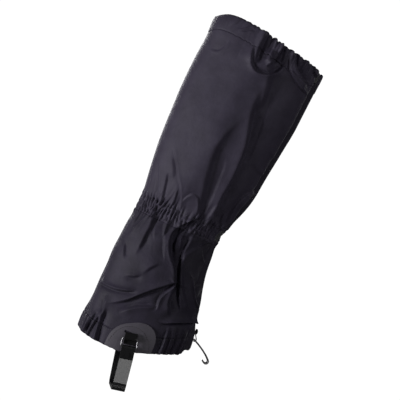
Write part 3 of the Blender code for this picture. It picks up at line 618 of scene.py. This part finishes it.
# coated nylon: a tight plain weave under a thin matt coat, so a dark purplish black with a weak broad sheen;
# the real threads are about 0.25 mm apart, and are drawn coarser here so that they show
def coatedNylon(name, dark, light, threadMm=0.55, roughness=0.6):
    made, tree, out, spot = startMaterial(name, "UV")
    threads = {"wave_type": "BANDS", "in:Scale": waveScale(threadMm)}
    warp = addNode(tree, "ShaderNodeTexWave", {**threads, "bands_direction": "X"}, spot)
    weft = addNode(tree, "ShaderNodeTexWave", {**threads, "bands_direction": "Y"}, spot)
    crossed = {0: warp.outputs["Fac"], 1: weft.outputs["Fac"]}
    weave = addNode(tree, "ShaderNodeMath", {"operation": "MULTIPLY"}, crossed)
    # handling marks about 20 mm across, and specks of 2 mm
    marks = {"in:Scale": 0.045, "in:Detail": 4.0, "in:Roughness": 0.55}
    cloud = addNode(tree, "ShaderNodeTexNoise", marks, spot)
    fine = addNode(tree, "ShaderNodeTexNoise", {"in:Scale": 0.5, "in:Detail": 3.0}, spot)
    tone = addNode(tree, "ShaderNodeMapRange", {"in:From Min": 0.3, "in:From Max": 0.7},
                   {"Value": cloud.outputs["Fac"]})
    colour = addColour(tree, dark, light, tone.outputs[0])
    rough = addNode(tree, "ShaderNodeMapRange", {"in:To Min": roughness - 0.05, "in:To Max": roughness + 0.06},
                    {"Value": fine.outputs["Fac"]})
    bump = addNode(tree, "ShaderNodeBump", {"in:Strength": 0.35, "in:Distance": 0.12 * mm},
                   {"Height": weave.outputs[0]})
    # small creases about 10 mm apart
    creases = {"in:Scale": 0.11, "in:Detail": 5.0, "in:Roughness": 0.62}
    wrinkle = addNode(tree, "ShaderNodeTexNoise", creases, spot)
    crumple = addNode(tree, "ShaderNodeBump", {"in:Strength": 0.5, "in:Distance": 1.0 * mm},
                      {"Height": wrinkle.outputs["Fac"], "Normal": bump.outputs[0]})
    coat = {"in:IOR": 1.5, "in:Specular IOR Level": 0.14, "in:Sheen Weight": 0.02, "in:Sheen Roughness": 0.5}
    shader = addNode(tree, "ShaderNodeBsdfPrincipled", coat,
                     {"Base Color": colour, "Roughness": rough.outputs[0], "Normal": crumple.outputs[0]})
    tree.links.new(shader.outputs[0], out.inputs["Surface"])
    return made


# rubberised cloth: a moulded film with a fine pebble grain of about 1 mm, a shade lighter and smoother than
# the nylon
def rubberisedCloth(name, dark, light):
    made, tree, out, spot = startMaterial(name, "Object")
    grain = addNode(tree, "ShaderNodeTexVoronoi", {"feature": "F1", "in:Scale": 1.1}, spot)
    cloud = addNode(tree, "ShaderNodeTexNoise", {"in:Scale": 0.09, "in:Detail": 4.0}, spot)
    colour = addColour(tree, dark, light, cloud.outputs["Fac"])
    bump = addNode(tree, "ShaderNodeBump", {"in:Strength": 0.25, "in:Distance": 0.15 * mm},
                   {"Height": grain.outputs["Distance"]})
    rough = addNode(tree, "ShaderNodeMapRange", {"in:To Min": 0.42, "in:To Max": 0.55},
                    {"Value": cloud.outputs["Fac"]})
    shader = addNode(tree, "ShaderNodeBsdfPrincipled", {"in:IOR": 1.5},
                     {"Base Color": colour, "Normal": bump.outputs[0], "Roughness": rough.outputs[0]})
    tree.links.new(shader.outputs[0], out.inputs["Surface"])
    return made


# woven nylon or polyester tape, strap and elastic: ribs along or across, in a deep black
def wovenTape(name, dark, light, ribMm, direction, roughness, sheen=0.1, relief=0.4, gloss=0.5):
    made, tree, out, spot = startMaterial(name, "Object")
    bands = {"wave_type": "BANDS", "bands_direction": direction, "in:Scale": waveScale(ribMm)}
    ribs = addNode(tree, "ShaderNodeTexWave", bands, spot)
    fuzz = addNode(tree, "ShaderNodeTexNoise", {"in:Scale": 1.6, "in:Detail": 3.0}, spot)
    both = addNode(tree, "ShaderNodeMath", {"operation": "MULTIPLY_ADD", "in:1": 0.7},
                   {0: ribs.outputs["Fac"], 2: fuzz.outputs["Fac"]})
    colour = addColour(tree, dark, light, fuzz.outputs["Fac"])
    bump = addNode(tree, "ShaderNodeBump", {"in:Strength": relief, "in:Distance": 0.2 * mm},
                   {"Height": both.outputs[0]})
    yarn = {"in:IOR": 1.5, "in:Roughness": roughness, "in:Sheen Weight": sheen, "in:Specular IOR Level": gloss}
    shader = addNode(tree, "ShaderNodeBsdfPrincipled", yarn, {"Base Color": colour, "Normal": bump.outputs[0]})
    tree.links.new(shader.outputs[0], out.inputs["Surface"])
    return made


# drawn steel wire, nickel finish: grey and bright, with faint lines and a little dulling from handling
def drawnSteel(name):
    made, tree, out, spot = startMaterial(name, "Object")
    smear = addNode(tree, "ShaderNodeTexNoise", {"in:Scale": 0.35, "in:Detail": 4.0}, spot)
    lines = addNode(tree, "ShaderNodeTexNoise", {"in:Scale": 4.0, "in:Detail": 2.0}, spot)
    rough = addNode(tree, "ShaderNodeMapRange", {"in:To Min": 0.3, "in:To Max": 0.5},
                    {"Value": smear.outputs["Fac"]})
    colour = addColour(tree, "#69686b", "#88878a", smear.outputs["Fac"])
    bump = addNode(tree, "ShaderNodeBump", {"in:Strength": 0.08, "in:Distance": 0.05 * mm},
                   {"Height": lines.outputs["Fac"]})
    shader = addNode(tree, "ShaderNodeBsdfPrincipled", {"in:Metallic": 1.0},
                     {"Base Color": colour, "Roughness": rough.outputs[0], "Normal": bump.outputs[0]})
    tree.links.new(shader.outputs[0], out.inputs["Surface"])
    return made


finishes = {
    "calfNylon": coatedNylon("coatedNylonCalf", "#2a2632", "#332f3c"),
    # the placket is the calf's nylon drawn darker: painted shade where it lies under the flap
    "placketNylonPaintedShade": coatedNylon("coatedNylonPlacketPaintedShade", "#201d26", "#292630"),
    # the boot is the same nylon as the calf, drawn darker as painted shade on the lower sleeve
    "bootNylonPaintedShade": coatedNylon("coatedNylonBootPaintedShade", "#1f1c26", "#282431"),
    "patchRubber": rubberisedCloth("rubberisedPatch", "#36333b", "#3f3b44"),
    "coatedStrap": wovenTape("coatedStrapBlack", "#0b0b0d", "#101012", 6.0, "X", 0.27, 0.0, 0.04),
    "webbing": wovenTape("nylonWebbing", "#0a0a0b", "#111012", 1.4, "Z", 0.9, 0.0, 0.4, 0.12),
    "hookTape": wovenTape("hookTapeNylon", "#151416", "#1f1e21", 1.1, "Z", 0.75),
    "loopTape": wovenTape("loopTapeNylon", "#1a191c", "#29282c", 0.8, "DIAGONAL", 0.95, 0.5),
    "seamTape": wovenTape("bondedSeamTape", "#262529", "#2e2d31", 1.5, "DIAGONAL", 0.5),
    "elastic": wovenTape("wovenElastic", "#1e1d20", "#2a292d", 1.2, "Z", 0.8, 0.2),
    "steel": drawnSteel("nickelSteelWire"),
    "thread": wovenTape("polyesterThread", "#121115", "#1b1a1f", 0.9, "DIAGONAL", 0.6),
}
print("materials made:", len(finishes))


backSeam, leftBack = at(-180), at(180)  # the same seam, reached round either side


# the left side's front edge, where the placket starts
def leftEdge(z):
    return np.full(np.shape(z), math.radians(sleeve["leftEdge"]))


# each side's four panels: name, rows, finish, slot and the nodes that it stands for
def sleeveSpec(side):
    casing = sleeve["casing"]
    bandLow = sleeve["ankle"] - sleeve["bandHalf"] - 2.5

    def seamLine(angles):
        return np.full(angles.shape, bandLow)

    def seamUp(angles):
        return rimLine(angles) - casing

    def seamDown(angles):
        return hemZ(angles) + casing

    front = ("front_flap",) if side == "right" else ()
    return (
        ("topCasing", foldedPath(rimLine, 1, casing, 1.0), "calfNylon", "calf_fabric",
         (f"top_casing_{side}",)),
        ("calf", plainPath(seamLine, seamUp, 1.2), "calfNylon", "calf_fabric", (f"calf_{side}_panel", *front)),
        # the boot panel and hem casing take the darker boot finish, which is painted shade
        ("boot", plainPath(seamDown, seamLine, 1.0), "bootNylonPaintedShade", "boot_fabric", (f"boot_{side}_panel",)),
        ("hemCasing", foldedPath(hemZ, -1, casing, 1.0), "bootNylonPaintedShade", "boot_fabric",
         (f"hem_casing_{side}",)),
    )


# the right side runs from the back seam to the flap's free edge, the left side from the seam to the toes
def buildSleeve():
    for name, path, finish, slot, nodes in sleeveSpec("right"):
        piece = sleevePiece(name + "Right", backSeam, freeEdge, path, finishes[finish], form=flapRelief)
        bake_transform(piece)
        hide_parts(*nodes)
    for name, path, finish, slot, nodes in sleeveSpec("left"):
        piece = sleevePiece(name + "Left", leftBack, leftEdge, path, finishes[finish], spacing=0.95)
        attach(piece, "shell")
        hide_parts(*nodes)
    # the placket dips under the flap from the left side's front edge
    def dip(angles, heights):
        return -sleeve["placketDepth"] * smoothStep(math.radians(-6), math.radians(-20), angles)

    path = plainPath(lambda a: hemZ(a) + 1, lambda a: rimLine(a) - 1, 1.2, dip)
    # the placket's darker finish is painted shade for the flap's overhang, not a different cloth
    start, finish = at(sleeve["placketEnd"]), finishes["placketNylonPaintedShade"]
    placket = sleevePiece("frontPlacket", start, leftEdge, path, finish, form=placketRelief)
    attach(placket, "shell")
    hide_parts("front_placket")


def level(height):
    return lambda angles: np.full(angles.shape, float(height))


def underRim(drop):
    return lambda angles: rimLine(angles) - drop


def overHem(rise):
    return lambda angles: hemZ(angles) + rise


# soft parts inside follow the sleeve's folds at their own depth: name, node, the angles that it runs between,
# low and high line, depth, thickness, finish, slot and body
def buildLining():
    ankle = sleeve["ankle"]
    bottomOfTape = 200
    spec = (
        ("topElastic", "top_elastic", 70, 354, underRim(15), underRim(5), 2.2, 1.0,
         "elastic", "elastic", "shell"),
        ("ankleElastic", "ankle_elastic", 70, 354, level(ankle - 8), level(ankle + 8), 1.3, 1.2,
         "elastic", "elastic", "shell"),
        ("ankleCasing", "ankle_casing", 70, 354, level(ankle - 12), level(ankle + 12), 2.9, 0.6,
         "calfNylon", "calf_fabric", "shell"),
        ("hemElasticBack", "hem_elastic_back", 117, 243, overHem(4), overHem(14), 2.0, 1.0,
         "elastic", "elastic", "shell"),
        ("hemElasticFrontLeft", "hem_elastic_front_left", -4, 63, overHem(4), overHem(14), 2.0, 1.0,
         "elastic", "elastic", "shell"),
        ("calfSeamTape", "calf_seam_tape", 174, 186, level(ankle + 13), underRim(24), 1.2, 0.4,
         "seamTape", "seam_tape", "shell"),
        ("bootSeamTape", "boot_seam_tape", 174, 186, overHem(24), level(ankle - 13), 1.2, 0.4,
         "seamTape", "seam_tape", "shell"),
        ("hookTape", "hook_tape", -43, -28, level(bottomOfTape), underRim(6), 1.0, 0.8,
         "hookTape", "hook_tape", "flap"),
        ("loopTape", "loop_tape", -43, -28, level(bottomOfTape), underRim(6), 3.4, 0.8,
         "loopTape", "loop_tape", "shell"),
        ("flapAnkleElastic", "flap_ankle_elastic", -50, -44, level(ankle - 5), level(ankle + 5), 1.2, 0.9,
         "elastic", "elastic", "flap"),
        ("flapHemElastic", "flap_hem_elastic", -55, -44, overHem(4), overHem(14), 1.5, 0.9,
         "elastic", "elastic", "flap"),
    )
    for name, node, first, last, low, high, depth, thick, finish, slot, body in spec:
        path = plainPath(low, high, 1.6, -depth)
        piece = sleevePiece(name, at(first), at(last), path, finishes[finish], thick, 1.2)
        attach(piece, body)
        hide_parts(node)


# in mm; the thread is drawn about twice as thick as a real one, so that it shows
stitch = {"pitch": 3.1, "length": 2.3, "radius": 0.27, "patchRadius": 0.34, "inset": 1.6,
          "patchRow": (27.2, 36.5, 1.5)}  # half width, height and lowest point of a patch's row


# rows of lockstitch: small rounded threads along a line of points
def stitchRow(name, line, radius):
    pitch, sides, rings = stitch["pitch"] * mm, 6, 5
    lengths = np.linalg.norm(np.diff(line, axis=0), axis=1)
    run = np.concatenate([[0], np.cumsum(lengths)])
    count = int(run[-1] / pitch)
    starts = (np.arange(count)[:, None] + 0.15) * pitch
    places = starts + np.linspace(0, stitch["length"] * mm, rings)[None, :]
    spots = np.stack([np.interp(places, run, line[:, k]) for k in range(3)], axis=-1)
    forward = spots[:, -1] - spots[:, 0]
    forward = forward / np.linalg.norm(forward, axis=1)[:, None]
    side = np.cross(forward, (0, 0, 1.0)) + np.array([0, 0, 1e-6])
    side = side / np.linalg.norm(side, axis=1)[:, None]
    lift = np.cross(side, forward)
    turns = np.arange(sides) * 2 * math.pi / sides
    taper = np.array([0.25, 0.85, 1.0, 0.85, 0.25]) * radius * mm
    ring = side[:, None, None, :] * np.cos(turns)[:, None] + lift[:, None, None, :] * np.sin(turns)[:, None]
    points = spots[:, :, None, :] + ring * taper[None, :, None, None]
    faces = []
    for k in range(count):
        first = k * sides * rings
        for r in range(rings - 1):
            near, far = first + r * sides, first + (r + 1) * sides
            faces += [(near + c, near + (c + 1) % sides, far + (c + 1) % sides, far + c) for c in range(sides)]
        last = first + (rings - 1) * sides
        faces += [tuple(first + c for c in reversed(range(sides))), tuple(last + c for c in range(sides))]
    mesh = bpy.data.meshes.new(name)
    mesh.from_pydata(points.reshape(-1, 3).tolist(), [], faces)
    mesh.shade_smooth()
    mesh.materials.append(finishes["thread"])
    piece = bpy.data.objects.new(name, mesh)
    bpy.context.scene.collection.objects.link(piece)
    return piece


def buildStitches():
    casing, ankle, half = sleeve["casing"], sleeve["ankle"], sleeve["bandHalf"]
    inset, (halfWidth, height, lowest) = stitch["inset"], stitch["patchRow"]
    rows = (
        ("topCasing", "calf_fabric", underRim(casing - inset)),
        ("ankleHigh", "calf_fabric", level(ankle + half)),
        ("ankleLow", "calf_fabric", level(ankle - half)),
        ("hemCasing", "boot_fabric", overHem(casing - inset)),
    )
    for name, slot, lineZ in rows:
        front = float(freeEdge(lineZ(np.array([-0.45])))[0])
        for side, first, last, form in (("Right", -math.pi, front - 0.02, flapRelief),
                                        ("Left", math.pi, math.radians(sleeve["leftEdge"]), relief)):
            angles = np.linspace(first, last, 700)
            line = sleevePoints(angles, lineZ(angles), 0.1, form)
            piece = stitchRow(name + "Stitches" + side, line, stitch["radius"])
            if side == "Right":
                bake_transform(piece)
            else:
                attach(piece, "shell")
    # the row inside each patch's edge lies on the patch's own face
    for node, out in (("right_patch", -1), ("left_patch", 1)):
        mesh = frame["nodes"][node].data
        face = BVHTree.FromPolygons([v.co for v in mesh.vertices], [p.vertices for p in mesh.polygons])
        line = []
        for turn in np.linspace(math.radians(4), math.radians(176), 90):
            x = patchMiddle + halfWidth * math.cos(turn)
            z = lowest + height * math.sin(turn) ** 0.85
            hit = face.ray_cast(Vector((x * mm, out * 0.2, z * mm)), Vector((0, -out, 0)))[0]
            if hit:
                line.append((hit.x, hit.y + out * 0.1 * mm, hit.z))
        piece = stitchRow(node.split("_")[0] + "PatchStitches", np.array(line), stitch["patchRadius"])
        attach(piece, "shell")


# the finish that each material slot of the solids gets
finishOfSlot = {
    "calf_fabric": "calfNylon", "boot_fabric": "bootNylonPaintedShade", "patch": "patchRubber", "strap": "coatedStrap",
    "webbing": "webbing", "hook_tape": "hookTape", "loop_tape": "loopTape", "seam_tape": "seamTape",
    "elastic": "elastic", "steel": "steel", "black_rivet": "coatedStrap",
}


def finishSolids():
    slots = {entry["node"]: entry["material_slot"] for entry in frame["record"]["subparts"]}
    for name, node in frame["nodes"].items():
        node.data.materials.clear()
        node.data.materials.append(finishes[finishOfSlot[slots[name]]])


def main():
    buildSleeve()
    print("sleeve built")
    buildLining()
    print("lining built")
    buildStitches()
    print("stitches sewn")
    finishSolids()


# the camera looks at the wearer's right side, rolled so that the leg leans forward
camera = {
    "away": 3.0, "azimuth": -6.0, "elevation": 1.0, "roll": 24.5,
    "aim": (0.0068, 0.0, 0.2213), "seen": 0.524,  # metres; seen is the width in view at the object
}


def buildCamera():
    azimuth, elevation, roll = [math.radians(camera[k]) for k in ("azimuth", "elevation", "roll")]
    flat = math.cos(elevation)
    back = Vector((math.sin(azimuth) * flat, -math.cos(azimuth) * flat, math.sin(elevation)))
    sideways = Vector((math.cos(azimuth), math.sin(azimuth), 0))
    upright = back.cross(sideways)
    right = sideways * math.cos(roll) + upright * math.sin(roll)
    up = upright * math.cos(roll) - sideways * math.sin(roll)
    data = bpy.data.cameras.new("camera")
    data.sensor_width = 36
    data.lens = 36 * camera["away"] / camera["seen"]
    data.clip_start, data.clip_end = 0.1, 50
    eye = bpy.data.objects.new("camera", data)
    place = Vector(camera["aim"]) + back * camera["away"]
    eye.matrix_world = Matrix.Translation(place) @ Matrix((right, up, back)).transposed().to_4x4()
    bpy.context.scene.collection.objects.link(eye)
    bpy.context.scene.camera = eye
    return right, up, back


# softboxes: how far to the right, up and towards the camera from the object in m, size in m, watts;
# the first stands low at the side, so that folds show on dark cloth
softboxes = {
    "leftSoftbox": (-1.8, 0.25, 0.95, (0.7, 0.7), 54),
    "rightSoftbox": (1.2, 0.3, 1.5, (0.6, 1.2), 11.5),
    "rimSoftbox": (1.25, 0.1, -1.15, (0.4, 1.4), 4),
    "farSoftbox": (-0.6, 0.9, -1.8, (1.2, 1.2), 44),
}
worldStrength, paperStrength, tentRadius = 0.07, 1.05, 9.0  # the radius in m


def addLight(name, place, target, size, power):
    data = bpy.data.lights.new(name, "AREA")
    data.shape = "RECTANGLE"
    data.size, data.size_y = size
    data.energy = power
    lamp = bpy.data.objects.new(name, data)
    lamp.location = place
    lamp.rotation_euler = (Vector(target) - Vector(place)).to_track_quat("-Z", "Y").to_euler()
    bpy.context.scene.collection.objects.link(lamp)
    return lamp


def buildStudio(right, up, back):
    middle = Vector(camera["aim"])
    world = bpy.data.worlds.new("studio")
    world.use_nodes = True
    sky = world.node_tree.nodes["Background"]
    sky.inputs["Color"].default_value = hexColour("#ffffff")
    sky.inputs["Strength"].default_value = worldStrength
    bpy.context.scene.world = world

    # a white paper tent round the object: plain even white, which lights nothing by itself
    made, tree, out, _ = startMaterial("whitePaper")
    white = {"in:Color": hexColour("#ffffff"), "in:Strength": paperStrength}
    glow = addNode(tree, "ShaderNodeEmission", white)
    tree.links.new(glow.outputs[0], out.inputs["Surface"])
    mesh = bpy.data.meshes.new("whiteTent")
    shape = bmesh.new()
    bmesh.ops.create_icosphere(shape, subdivisions=4, radius=tentRadius)
    bmesh.ops.reverse_faces(shape, faces=shape.faces)
    shape.to_mesh(mesh)
    shape.free()
    tent = bpy.data.objects.new("whiteTent", mesh)
    mesh.materials.append(made)
    bpy.context.scene.collection.objects.link(tent)
    tent.visible_diffuse = False
    tent.visible_glossy = False
    tent.visible_shadow = False

    for name, (sideways, high, near, size, power) in softboxes.items():
        addLight(name, middle + right * sideways + up * high + back * near, middle, size, power)
    # a small reflector low in front, which the glossy strap mirrors
    card = addLight("strapReflector", (0.37, -1.12, -1.22), (0.01, -0.045, -0.025), (0.3, 0.3), 2.3)
    card.visible_diffuse = False
    bpy.context.scene.view_settings.view_transform = "Standard"


main()
buildStudio(*buildCamera())
